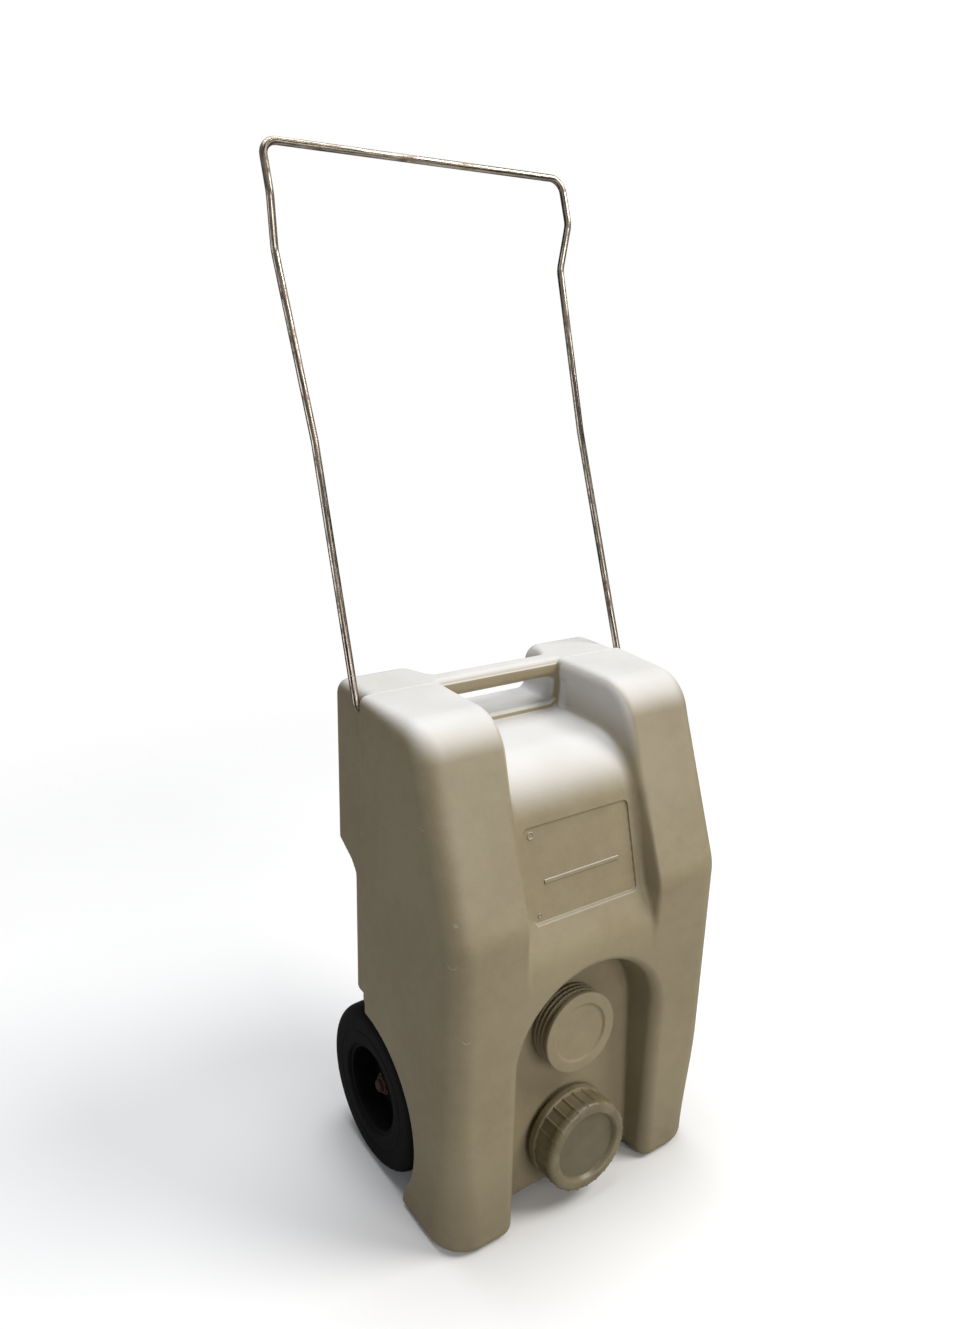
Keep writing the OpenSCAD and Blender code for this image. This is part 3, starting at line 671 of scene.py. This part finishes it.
def tankField(x, y, z):
    s = tankShape
    fromChannel = np.abs(x - s["channelMid"] * (1 - softFade(z, *s["midZ"])))
    x = np.abs(x)
    body = cutChannel(outerBlock(x, y, z), fromChannel, y, z)
    for cut in (cutNotch, cutRecess, cutWells, cutPanel):
        body = cut(body, x, y, z)
    ridge = (y - s["seam"]) / s["ridgeHalf"]  # flash along the parting line
    return body - s["ridgeH"] * np.exp(-ridge * ridge)


skinGrid = {
    "step": 2.7, "fine": 0.8, "start": 1.3, "panelBand": 2, "seamBand": 2.4,
    "rounds": 3, "flattest": 0.2, "farthest": 1.2, "normalReach": 0.2}


def makeTank(finish):
    s, g = tankShape, skinGrid
    step, fine = g["step"], g["fine"]
    start = -step * g["start"]
    panelEnds = (s["panelTop"], s["panelTop"] + s["panelL"])
    panelZ = [floorTop[1] - down * math.sin(floorTurn) for down in panelEnds]
    right = gridLines(step / 2, halfWidth + step, step, [(s["panelHalf"], g["panelBand"], fine)])
    lines = [np.concatenate([-right[::-1], right]),
             gridLines(start, tankDepth + step, step, [(s["seam"], g["seamBand"], fine)]),
             gridLines(start, topZ + step, step, [(z, g["panelBand"], fine) for z in panelZ])]
    points, faces = netSurface(tankField, lines)
    for _ in range(g["rounds"]):  # each round brings the points closer to the surface
        slope = slopeOf(tankField, points)
        steep = np.maximum((slope * slope).sum(1), g["flattest"])
        move = np.clip(tankField(*points.T) / steep, -g["farthest"], g["farthest"])
        points = points - slope * move[:, None]
    normals = slopeOf(tankField, points, g["normalReach"])
    normals /= np.maximum(np.linalg.norm(normals, axis=1), 1e-6)[:, None]
    mesh = bpy.data.meshes.new("tankSkin")
    mesh.from_pydata((points * mm + np.array([0, tankLow.y, 0])).tolist(), [], faces.tolist())
    mesh.shade_smooth()
    mesh.normals_split_custom_set_from_vertices(normals.tolist())
    skin = addPiece("tankSkin", mesh, finish, "tank")
    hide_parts("tank")
    print("tank skin:", len(points), "points")


tankPlastic = tankFinish()
makeTank(tankPlastic)


# Necks and cap are turned about axes that stand on the recess's floor

def neckPlace(drop):
    s = tankShape
    lean = math.radians(s["recessLean"])
    foot = spot(0, s["recessDepth"] - drop * math.sin(lean), s["recessZ"] - drop * math.cos(lean))
    return Matrix.Translation(foot) @ Matrix.Rotation(math.pi / 2 - lean, 4, "X")


neckShape = {
    "r": 40.2, "threadR": 43.5, "length": 26.5, "inner": 37, "flare": 3, "flareH": 1.5, "root": 2,
    "turns": 3, "pitch": 5.4, "start": 3.2, "threadT": 3.2, "threadUp": (0, 0.35, 0.75, 1.15),
    "flangeT": 4.6, "flangeR": 43.9, "dimpleR": 31, "dimpleDeep": 2.2, "soft": 0.6, "sides": 128}


# The flared foot and the threads, which both necks have
def neckStem():
    n = neckShape
    stem = [(n["r"] + n["flare"], -n["root"], 0), (n["r"], n["flareH"], n["flareH"])]
    for i in range(n["turns"]):
        low = n["start"] + i * n["pitch"]
        for r, up in zip((n["r"], n["threadR"], n["threadR"], n["r"]), n["threadUp"]):
            stem.append((r, low + n["threadT"] * up, n["soft"]))
    return stem


def makeNecks(finish):
    n = neckShape
    top, soft = n["length"], n["soft"]
    under, dimple = top - n["flangeT"], top - n["dimpleDeep"]
    blank = neckStem() + [
        (n["r"], under, soft), (n["flangeR"], under, soft), (n["flangeR"], top, 1.4),
        (n["dimpleR"] + 1.2, top, 1.2), (n["dimpleR"] - 0.8, dimple, 1.2), (0, dimple, 0)]
    mesh = lathe("blankNeck", softPath(blank, 4), neckPlace(0), n["sides"])
    addPiece("blankNeck", mesh, finish, "tank")
    filler = neckStem() + [
        (n["r"], top, 0.8), (n["inner"], top, 0.8), (n["inner"], -tankShape["boreL"] / 4, 0)]
    mesh = lathe("fillerNeck", softPath(filler, 4), neckPlace(tankShape["neckDrop"]), n["sides"])
    addPiece("fillerNeck", mesh, finish, "tank")
    print("necks: 2 pieces")


capShape = {
    "inR": 44, "foot": 5.3, "collarR": 51.4, "collarTop": 13.5, "skirtR": 48.4, "skirtGap": 2,
    "rimR": 49.8, "rimFoot": 33.2, "top": 41.8, "rimSoft": 5.5, "faceR": 38.6, "discR": 35.4, "discZ": 36.6,
    "under": 32.8, "seatR": 37, "seat": 28.7,
    "ribs": 24, "ribH": 1.5, "ribHalf": 0.9, "toothH": 0.9, "columns": 16, "rows": 16}


# Ribs on the skirt, which end in small teeth on the rim
def capSwell(angle, radius, distance):
    c = capShape
    pitch = 2 * math.pi / c["ribs"]
    off = abs((angle + pitch / 2) % pitch - pitch / 2) * c["skirtR"]
    rib = math.exp(-(off / c["ribHalf"]) ** 4)
    if abs(radius - c["skirtR"]) < 0.3:
        return c["ribH"] * rib
    if radius > c["rimR"] - 0.4 and distance > c["rimFoot"]:
        return c["toothH"] * rib * (1 - (distance - c["rimFoot"]) / (c["top"] - c["rimFoot"]))
    return 0


def makeCap(finish):
    c = capShape
    skirtFoot = c["collarTop"] + c["skirtGap"]
    profile = softPath([
        (0, c["under"], 0), (c["seatR"], c["under"], 0.5), (c["seatR"], c["seat"], 0.3),
        (c["inR"], c["seat"], 0.3), (c["inR"], c["foot"], 0.8), (c["collarR"], c["foot"], 2),
        (c["collarR"] - 0.6, c["collarTop"], 1.5), (c["skirtR"], c["collarTop"] + 0.8, 0.8),
        (c["skirtR"], skirtFoot, 0)], 4)
    span = c["rimFoot"] - 1 - skirtFoot
    for i in range(c["rows"]):
        profile.append(Vector((c["skirtR"], skirtFoot + span * (i + 1) / c["rows"])))
    profile += softPath([
        (c["skirtR"], c["rimFoot"] - 0.5, 0), (c["rimR"], c["rimFoot"] + 0.4, 0.8),
        (c["rimR"], c["top"], c["rimSoft"]), (c["faceR"], c["top"], 3),
        (c["discR"], c["discZ"], 1.2), (0, c["discZ"], 0)], 6)
    sides = c["ribs"] * c["columns"]
    mesh = lathe("screwCap", profile, neckPlace(tankShape["neckDrop"]), sides, swell=capSwell)
    cap = addPiece("screwCap", mesh, finish, "cap")
    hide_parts("screw_cap")
    print("screw cap:", len(mesh.vertices), "points")


makeNecks(tankPlastic)
makeCap(capFinish())


# Small mouldings on the tank

wedgeShape = {"z": 290, "out": 4, "h": 12, "w": 6, "gap": 1, "root": 2, "soft": 0.7}


def makeWedges(finish):
    w, s = wedgeShape, tankShape
    near = s["seam"] + w["gap"]
    half = w["h"] / 2
    section = [(-w["root"], -half), (0, -half), (w["out"], half / 2), (0, half), (-w["root"], half)]
    for name, side in (("sideWedgeLeft", -1), ("sideWedgeRight", 1)):
        points = [spot(side * (s["rearHalf"] + out), y, w["z"] + up)
                  for y in (near, near + w["w"]) for out, up in section]
        mesh = meshFrom(name, points, prismFaces(len(section)))
        shape = bmesh.new()
        shape.from_mesh(mesh)
        bmesh.ops.bevel(shape, geom=list(shape.edges), offset=w["soft"] * mm, segments=2, affect="EDGES")
        shape.to_mesh(mesh)
        shape.free()
        mesh.shade_smooth()
        mesh.set_sharp_from_angle(angle=math.radians(40))
        addPiece(name, mesh, finish, "tank")
    print("side wedges: 2 pieces")


# A place on the sunk panel: across, down from the roll-over, and out of the panel
def panelPlace(x, down, out):
    s = tankShape
    y = floorTop[0] - down * math.cos(floorTurn) - (out - s["panelDeep"]) * math.sin(floorTurn)
    z = floorTop[1] - down * math.sin(floorTurn) + (out - s["panelDeep"]) * math.cos(floorTurn)
    return spot(x, y, z)


mouldingShape = {
    "root": 0.6, "studX": -56, "studDown": (14.5, 92), "studR": (4, 2.2), "studH": 0.8, "studDish": 0.25,
    "barHalf": 46, "barDown": 59.5, "barT": 4.5, "barH": 1.1, "barSoft": 0.8, "barSide": 0.5}


def makePanelMouldings(finish):
    b = mouldingShape
    root, dish = -b["root"], b["studDish"]
    for i, (down, r) in enumerate(zip(b["studDown"], b["studR"])):
        place = Matrix.Translation(panelPlace(b["studX"], down, 0)) @ Matrix.Rotation(floorTurn, 4, "X")
        profile = [(r, root, 0), (r, b["studH"], 0.5), (r * 0.72, b["studH"], 0.4), (r * 0.6, dish, 0.3),
                   (0, dish, 0)]
        name = "panelStud%d" % (i + 1)
        addPiece(name, lathe(name, softPath(profile, 3), place, 40), finish, "tank")
    section = [
        (0, root), (0, b["barSide"]), (b["barSoft"], b["barH"]),
        (b["barT"] - b["barSoft"], b["barH"]), (b["barT"], b["barSide"]), (b["barT"], root)]
    points = [panelPlace(x, b["barDown"] + down, out)
              for x in (-b["barHalf"], b["barHalf"]) for down, out in section]
    mesh = meshFrom("panelBar", points, prismFaces(len(section)), 30)
    addPiece("panelBar", mesh, finish, "tank")
    print("panel mouldings: 3 pieces")


makeWedges(tankPlastic)
makePanelMouldings(tankPlastic)


# Wheels

wheelShape = {
    "r": 90.5, "in": 118, "out": 162, "treadR": 13, "crown": 1.0, "crownR": 40, "beadR": 5,
    "creaseR": 65, "creaseDeep": 0.6, "creaseHalf": 1.3, "creaseSoft": 0.6,
    "rimR": 49, "barrelIn": 45, "inset": 4, "lip": 3, "lipOver": 0.8, "webX": 123, "webT": 5,
    "hubR": 14, "hubOut": 144, "boreR": 5.05, "tyreSides": 144, "rimSides": 112}


def wheelPlace(side):
    return Matrix.Translation(Vector((0, axleAt.y, axleAt.z))) @ Matrix.Rotation(side * math.pi / 2, 4, "Y")


def makeTyre(name, node, body, side, finish):
    w = wheelShape
    middle = (w["in"] + w["out"]) / 2
    flanks = []  # bead, crease and tread edge of the inner and the outer side
    for x, sign in ((w["in"], 1), (w["out"], -1)):
        flanks.append([
            (w["rimR"], x, w["beadR"]), (w["creaseR"] - w["creaseHalf"], x, w["creaseSoft"]),
            (w["creaseR"], x + sign * w["creaseDeep"], w["creaseSoft"]),
            (w["creaseR"] + w["creaseHalf"], x, w["creaseSoft"]), (w["r"] - w["crown"], x, w["treadR"])])
    seat = [(w["rimR"], middle, 0)]
    corners = seat + flanks[0] + [(w["r"], middle, w["crownR"])] + flanks[1][::-1] + seat
    profile = softPath(corners, 8)[:-1]
    mesh = lathe(name, profile, wheelPlace(side), w["tyreSides"], closed=True)
    tyre = addPiece(name, mesh, finish, body)
    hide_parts(node)


def makeRim(name, node, body, side, finish):
    w = wheelShape
    web, face, back = w["webX"] + w["webT"], w["out"] - w["lip"], w["in"] + w["inset"]
    over = w["rimR"] + w["lipOver"]
    corners = [
        (w["boreR"], w["in"], 0), (w["hubR"], w["in"], 0.8), (w["hubR"], w["webX"], 1.5),
        (w["barrelIn"], w["webX"], 1.5), (w["barrelIn"], back, 1), (w["rimR"], back, 1),
        (w["rimR"], w["out"] - 6, 1), (over, w["out"] - 4.5, 0.6), (over, face, 0.8),
        (w["barrelIn"] + 0.6, face, 1.2), (w["barrelIn"], w["out"] - 9, 2), (w["barrelIn"] - 2, web, 5),
        (w["hubR"] + 1, web, 4), (w["hubR"] - 0.6, w["hubOut"], 1.5), (w["boreR"], w["hubOut"], 0)]
    mesh = lathe(name, softPath(corners, 5), wheelPlace(side), w["rimSides"], closed=True)
    rim = addPiece(name, mesh, finish, body)
    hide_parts(node)


pushShape = {
    "from": 145.8, "flangeR": 10, "flangeT": 1.8, "domeR": 6.8, "top": 152.8, "inR": 5.02, "end": 151.2,
    "teeth": 8, "toothH": 0.5, "sides": 96}


def makePushCap(name, node, side, finish):
    p = pushShape
    corners = [
        (0, p["end"], 0), (p["inR"], p["end"], 0.2), (p["inR"], p["from"], 0.2),
        (p["flangeR"], p["from"], 0.5), (p["flangeR"], p["from"] + p["flangeT"], 0.8),
        (p["domeR"] + 0.4, p["from"] + p["flangeT"] * 1.4, 1.2), (p["domeR"], p["top"] - 1, 3),
        (p["domeR"] * 0.6, p["top"], 2), (0, p["top"], 0)]

    def notch(angle, radius, distance):
        return p["toothH"] * math.cos(p["teeth"] * angle) if radius > p["flangeR"] - 0.6 else 0

    mesh = lathe(name, softPath(corners, 5), wheelPlace(side), p["sides"], swell=notch)
    cap = addPiece(name, mesh, finish, "tank")
    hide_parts(node)


tyreRubber = rubberFinish("wornTyre", 0.5)
rimPlastic = rubberFinish("blackRim", 0.12)
rustySteel = steelFinish("rustyCap", "rust")
for sideName, side in (("Left", -1), ("Right", 1)):
    low = sideName.lower()
    makeTyre("tyre" + sideName, "tyre_" + low, "wheel_" + low, side, tyreRubber)
    makeRim("rim" + sideName, "rim_" + low, "wheel_" + low, side, rimPlastic)
    makePushCap("pushCap" + sideName, "push_cap_" + low, side, rustySteel)
print("wheels: 6 pieces")


# Wire handle, in its own frame: Z along the leg, the pivot at the origin

handleShape = {
    "r": 3.8, "lean": 19.3, "legX": 165.3, "pinX": 140.8, "kinkL": 258, "jogStartL": 440, "jogEndL": 483,
    "length": 533, "forward": 20, "kinkIn": 3, "jogOut": 5, "gripOut": 9.5,
    "hookR": 6, "kinkR": 60, "jogR": 24, "cornerR": 15, "sides": 20}


def makeHandle(finish):
    h = handleShape
    x = h["legX"]
    half = [  # from the hooked end to the crossbar's corner
        (h["pinX"], 0, 0, 0), (x, 0, 0, h["hookR"]), (x - h["kinkIn"], 0, h["kinkL"], h["kinkR"]),
        (x + h["jogOut"], 0, h["jogStartL"], h["jogR"]),
        (x + h["gripOut"], -h["forward"], h["jogEndL"], h["jogR"]),
        (x + h["gripOut"], -h["forward"], h["length"], h["cornerR"])]
    other = [(-a, b, c, r) for a, b, c, r in reversed(half)]
    place = Matrix.Translation(pivot) @ Matrix.Rotation(-math.radians(h["lean"]), 4, "X")
    path = [place @ (point * mm) for point in softPath(half + other, 10)]
    mesh = sweepBar("handleWire", path, h["r"] * mm, h["sides"])
    wire = addPiece("handleWire", mesh, finish, "handle")
    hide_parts("handle_wire")
    print("handle wire:", len(path), "rings")


makeHandle(wireFinish())


# Solids that keep their own shape and take a finish

zincSteel = steelFinish("dullZinc", "zinc")
plainFinishes = {"axle": steelFinish("rustedBar", "axle"), "cap_seal": rubberFinish("sealRubber", 0.05)}
for washer in ("inner_washer_left", "inner_washer_right", "outer_washer_left", "outer_washer_right"):
    plainFinishes[washer] = zincSteel
for nodeName, finish in plainFinishes.items():
    solid = frame["nodes"][nodeName]
    if not solid.material_slots:
        solid.data.materials.append(finish)
    for entry in solid.material_slots:
        entry.material = finish
print("plain solids:", len(plainFinishes))


# Floor, light and camera

floorLook = {
    "size": 1.9, "solid": 0.65, "gone": 1.5,
    "pale": paint(0.84, 0.85, 0.872), "tint": paint(0.88, 0.89, 0.912), "bounce": paint(0.40, 0.40, 0.40)}


def makeFloor():
    f = floorLook
    finish, tone, where = newFinish("paleFloor")
    x, y = tone.parts(where)[:2]
    away = tone.maths("SQRT", x * x + y * y, 0.0)
    seen = tone.node("ShaderNodeLightPath", {}, {}, "Is Camera Ray")
    colour = tone.blend(seen, f["bounce"], tone.blend(tone.noise(where, 3.0), f["pale"], f["tint"]))
    shader = tone.node("ShaderNodeBsdfDiffuse", {}, {"Color": colour})
    clear = tone.node("ShaderNodeBsdfTransparent", {}, {})
    thin = tone.ramp(away, f["solid"], f["gone"])  # the floor fades out into the white
    mixed = tone.node("ShaderNodeMixShader", {}, {0: thin, 1: shader, 2: clear})
    tone.node("ShaderNodeOutputMaterial", {}, {"Surface": mixed})
    s = f["size"]
    mesh = bpy.data.meshes.new("floor")
    mesh.from_pydata([(-s, -s, 0), (s, -s, 0), (s, s, 0), (-s, s, 0)], [], [(0, 1, 2, 3)])
    mesh.materials.append(finish)
    floor = bpy.data.objects.new("floor", mesh)
    bpy.context.scene.collection.objects.link(floor)


# Place, size, power and colour of each lamp
lampLook = {
    "keyLamp": ((1.9, -1.5, 3.1), 1.7, 88, (1.0, 0.965, 0.90)),
    "fillLamp": ((0.2, -2.9, 1.0), 1.6, 34, (1.0, 0.965, 0.91)),
    "sideLamp": ((-3.0, 0.4, 1.0), 1.6, 14, (0.97, 0.98, 1.0)),
    "topLamp": ((0.1, 0.6, 3.4), 2.2, 76, (0.99, 0.99, 0.99))}
lampAim = (0, 0, 0.35)
worldLook = {"ambient": 0.18, "tint": paint(0.98, 0.99, 1.0), "seen": paint(1.0, 1.0, 1.0)}


def makeLight():
    for name, (place, size, power, colour) in lampLook.items():
        data = bpy.data.lights.new(name, "AREA")
        data.shape = "DISK"
        data.size = size
        data.energy = power
        data.color = colour
        lamp = bpy.data.objects.new(name, data)
        lamp.location = place
        lamp.rotation_euler = (Vector(lampAim) - Vector(place)).to_track_quat("-Z", "Y").to_euler()
        bpy.context.scene.collection.objects.link(lamp)
    world = bpy.data.worlds.new("studio")
    world.use_nodes = True
    world.node_tree.nodes.clear()
    tone = Tone(world.node_tree)
    paths = tone.node("ShaderNodeLightPath", {}, {}).socket.node
    seen = [Tone(world.node_tree, paths.outputs[key]) for key in ("Is Camera Ray", "Is Transmission Ray")]
    white = tone.maths("MINIMUM", seen[0] + seen[1], 1.0)
    colour = tone.blend(white, worldLook["tint"], worldLook["seen"])
    strength = white * (1.0 - worldLook["ambient"]) + worldLook["ambient"]
    shader = tone.node("ShaderNodeBackground", {}, {"Color": colour, "Strength": strength})
    tone.node("ShaderNodeOutputWorld", {}, {"Surface": shader})
    bpy.context.scene.world = world


# The camera stands where the photograph was taken
# Its place is in millimetres, its turns in degrees and its focal length in pixels
cameraLook = {
    "place": (-579.7, -796.3, 867.5), "turn": 34.85, "drop": 17.95, "roll": 1.58,
    "focal": 1009.5, "rows": 1329, "film": 36, "near": 0.01}


def makeCamera():
    c = cameraLook
    turn, drop, roll = (math.radians(c[key]) for key in ("turn", "drop", "roll"))
    forward = Vector((math.sin(turn) * math.cos(drop), math.cos(turn) * math.cos(drop), -math.sin(drop)))
    right = Vector((math.cos(turn), -math.sin(turn), 0))
    up = right.cross(forward)
    across = right * math.cos(roll) + up * math.sin(roll)
    over = up * math.cos(roll) - right * math.sin(roll)
    data = bpy.data.cameras.new("photoCamera")
    data.sensor_fit = "VERTICAL"
    data.sensor_height = c["film"]
    data.lens = c["focal"] * c["film"] / c["rows"]
    data.clip_start = c["near"]
    camera = bpy.data.objects.new("photoCamera", data)
    bpy.context.scene.collection.objects.link(camera)
    turned = Matrix((across, over, -forward)).transposed().to_4x4()
    camera.matrix_world = Matrix.Translation(Vector(c["place"]) * mm) @ turned
    bpy.context.scene.camera = camera


makeFloor()
makeLight()
makeCamera()
bpy.context.scene.view_settings.view_transform = "Standard"
print("stage, light and camera")
